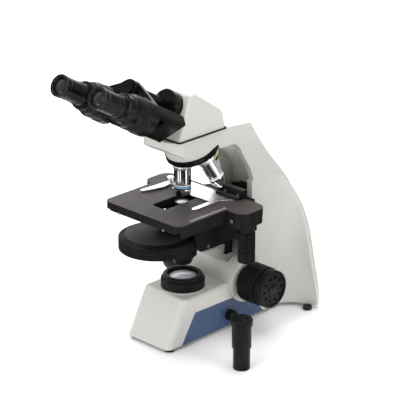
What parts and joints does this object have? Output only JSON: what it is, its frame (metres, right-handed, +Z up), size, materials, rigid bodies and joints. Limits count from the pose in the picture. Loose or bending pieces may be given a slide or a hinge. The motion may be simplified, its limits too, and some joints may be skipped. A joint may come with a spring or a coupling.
{
  "type": "microscope",
  "caption": "Binocular compound microscope with tilted nosepiece, mechanical stage, phase turret condenser, coaxial focus knobs and a separate centring telescope.",
  "frame": {"origin": "the point of the table straight under the optical axis", "axes": "+Z up along the optical axis, -Y towards the user (the eyepieces), +X to the user's right"},
  "size_m": [0.2483, 0.3921, 0.4064],
  "materials": {
    "aluminium": "anodised",
    "black_gloss": "gloss",
    "black_paint": "satin black",
    "black_plastic": "satin",
    "black_textured": "matt, fine texture",
    "blue_plastic": "satin",
    "board_green": "satin",
    "brass": "machined",
    "chrome": "polished",
    "cream_paint": "semi-gloss, fine orange peel",
    "led_white": "satin",
    "lens_glass": "polished",
    "rubber": "matt",
    "satin_silver": "satin plated",
    "steel": "brushed"
  },
  "bodies": {
    "stand": {"stand_casting": "cream_paint", "bottom_cover": "black_textured", "cover_screws": "steel", "rubber_feet": "rubber", "side_panels": "blue_plastic", "rear_panel": "black_textured", "power_inlet": "black_plastic", "switch_frame": "black_plastic", "heat_sink": "aluminium", "led_module": "led_white", "driver_board": "board_green", "collector_housing": "black_paint", "field_lens": "lens_glass", "focus_bushes": "brass", "guide_rail": "steel", "nosepiece_base": "chrome"},
    "power_switch": {"power_switch": "black_plastic"},
    "dimmer": {"dimmer_knob": "black_plastic"},
    "field_iris": {"field_iris_ring": "black_paint"},
    "coarse_drive": {"coarse_shaft": "steel", "coarse_knobs": "black_plastic"},
    "fine_drive": {"fine_shaft": "steel", "fine_knobs": "black_plastic"},
    "tension_collar": {"tension_collar": "black_plastic"},
    "stage_lift": {"focus_rack": "steel", "stage_bracket": "black_textured", "stage_base_plate": "black_textured"},
    "stage": {"stage_plate": "black_textured"},
    "stage_y_drive": {"stage_y_knob": "black_plastic"},
    "stage_x_drive": {"stage_x_knob": "black_plastic"},
    "slide_holder": {"slide_holder": "satin_silver", "holder_carriage": "black_paint"},
    "spring_finger": {"spring_finger": "satin_silver"},
    "condenser": {"condenser_bracket": "black_paint", "condenser_housing": "black_paint", "condenser_lens": "lens_glass", "condenser_lower": "black_paint", "condenser_screws": "steel"},
    "condenser_drive": {"condenser_knob": "black_plastic"},
    "phase_turret": {"phase_turret": "black_paint"},
    "aperture_lever": {"aperture_lever": "black_paint"},
    "nosepiece": {"nosepiece_turret": "black_paint", "objective_4x": "chrome", "objective_10x": "chrome", "objective_40x": "chrome", "objective_100x": "chrome"},
    "head": {"head_housing": "cream_paint", "head_dovetail": "steel", "head_prism": "lens_glass", "pivot_barrel": "black_gloss"},
    "head_lock": {"head_lock_screw": "steel"},
    "arm_left": {"prism_arm_left": "black_gloss", "eyetube_left": "black_gloss"},
    "arm_right": {"prism_arm_right": "black_gloss", "eyetube_right": "black_gloss"},
    "diopter": {"diopter_ring": "black_plastic"},
    "eyepiece_left": {"eyepiece_left": "black_gloss"},
    "eyepiece_right": {"eyepiece_right": "black_gloss"},
    "telescope": {"telescope_tube": "black_gloss"},
    "telescope_head": {"telescope_head": "black_plastic"}
  },
  "joints": [
    {"name": "power_switch_rock", "type": "hinge", "parent": "stand", "child": "power_switch", "pos_m": [0.019, 0.1895, 0.034], "axis": [1, 0, 0], "range_deg": [0, 12]},
    {"name": "dimmer_turn", "type": "hinge", "parent": "stand", "child": "dimmer", "pos_m": [0.049, 0.05, 0.021], "axis": [1, 0, 0], "range_deg": [0, 270]},
    {"name": "field_iris_turn", "type": "hinge", "parent": "stand", "child": "field_iris", "pos_m": [0, 0, 0.079], "axis": [0, 0, 1], "range_deg": [0, 100]},
    {"name": "stage_lift", "type": "slide", "parent": "stand", "child": "stage_lift", "axis": [0, 0, 1], "range_m": [-0.009, 0.0025]},
    {"name": "coarse_drive_turn", "type": "hinge", "parent": "stand", "child": "coarse_drive", "pos_m": [0, 0.08, 0.066], "axis": [1, 0, 0], "range_deg": [-86.5, 24.5]},
    {"name": "fine_drive_turn", "type": "hinge", "parent": "stand", "child": "fine_drive", "pos_m": [0, 0.08, 0.066], "axis": [1, 0, 0], "continuous": true},
    {"name": "tension_collar_turn", "type": "hinge", "parent": "stand", "child": "tension_collar", "pos_m": [0.049, 0.08, 0.066], "axis": [1, 0, 0], "range_deg": [-40, 40]},
    {"name": "stage_y", "type": "slide", "parent": "stage_lift", "child": "stage", "axis": [0, 1, 0], "range_m": [-0.025, 0.025]},
    {"name": "stage_y_knob_turn", "type": "hinge", "parent": "stage", "child": "stage_y_drive", "pos_m": [0.088, 0.033, 0.15], "axis": [0, 0, 1], "range_deg": [-145, 145]},
    {"name": "stage_x", "type": "slide", "parent": "stage", "child": "slide_holder", "axis": [1, 0, 0], "range_m": [-0.03, 0.03]},
    {"name": "stage_x_knob_turn", "type": "hinge", "parent": "stage", "child": "stage_x_drive", "pos_m": [0.088, 0.033, 0.13], "axis": [0, 0, 1], "range_deg": [-172, 172]},
    {"name": "spring_finger_swing", "type": "hinge", "parent": "slide_holder", "child": "spring_finger", "pos_m": [-0.05, 0.027, 0.2], "axis": [0, 0, 1], "range_deg": [-20, 0], "stiffness_Nm_per_rad": 0.05},
    {"name": "condenser_lift", "type": "slide", "parent": "stage_lift", "child": "condenser", "axis": [0, 0, 1], "range_m": [-0.006, 0]},
    {"name": "condenser_knob_turn", "type": "hinge", "parent": "stage_lift", "child": "condenser_drive", "pos_m": [-0.05, 0.062, 0.152], "axis": [1, 0, 0], "range_deg": [-60, 0]},
    {"name": "phase_turret_turn", "type": "hinge", "parent": "condenser", "child": "phase_turret", "pos_m": [-0.012, -0.038, 0.139], "axis": [0, 0, 1], "continuous": true},
    {"name": "aperture_lever_swing", "type": "hinge", "parent": "condenser", "child": "aperture_lever", "pos_m": [0, 0, 0.12], "axis": [0, 0, 1], "range_deg": [-40, 40]},
    {"name": "nosepiece_turn", "type": "hinge", "parent": "stand", "child": "nosepiece", "pos_m": [0, 0.021, 0.2545], "axis": [0, -0.3584, 0.9336], "continuous": true},
    {"name": "head_turn", "type": "hinge", "parent": "stand", "child": "head", "pos_m": [0, 0, 0.295], "axis": [0, 0, 1], "continuous": true},
    {"name": "head_lock_turn", "type": "hinge", "parent": "stand", "child": "head_lock", "pos_m": [-0.03, 0, 0.2915], "axis": [1, 0, 0], "range_deg": [-90, 0]},
    {"name": "arm_right_swing", "type": "hinge", "parent": "head", "child": "arm_right", "pos_m": [0, -0.05994, 0.35619], "axis": [0, -0.866, 0.5], "range_deg": [-14.5, 4.5]},
    {"name": "arm_left_swing", "type": "hinge", "parent": "head", "child": "arm_left", "pos_m": [0, -0.05994, 0.35619], "axis": [0, -0.866, 0.5], "range_deg": [-4.5, 14.5]},
    {"name": "diopter_turn", "type": "hinge", "parent": "arm_left", "child": "diopter", "pos_m": [-0.035, -0.13089, 0.36228], "axis": [0, -0.866, 0.5], "range_deg": [-150, 150]},
    {"name": "eyepiece_left_pull", "type": "slide", "parent": "arm_left", "child": "eyepiece_left", "axis": [0, -0.866, 0.5], "range_m": [0, 0.03]},
    {"name": "eyepiece_right_pull", "type": "slide", "parent": "arm_right", "child": "eyepiece_right", "axis": [0, -0.866, 0.5], "range_m": [0, 0.03]},
    {"name": "telescope_lift", "type": "slide", "parent": "stand", "child": "telescope", "axis": [0, 0, 1], "range_m": [0, 0.1]},
    {"name": "telescope_focus", "type": "slide", "parent": "telescope", "child": "telescope_head", "axis": [0, 0, 1], "range_m": [0, 0.012]}
  ],
  "couplings": [
    {"joint": "coarse_drive_turn", "follows": "stage_lift", "rad_per_m": 166.67},
    {"joint": "stage_y_knob_turn", "follows": "stage_y", "rad_per_m": 100},
    {"joint": "stage_x_knob_turn", "follows": "stage_x", "rad_per_m": 100},
    {"joint": "condenser_knob_turn", "follows": "condenser_lift", "rad_per_m": 166.67},
    {"joint": "arm_left_swing", "follows": "arm_right_swing", "ratio": -1}
  ]
}
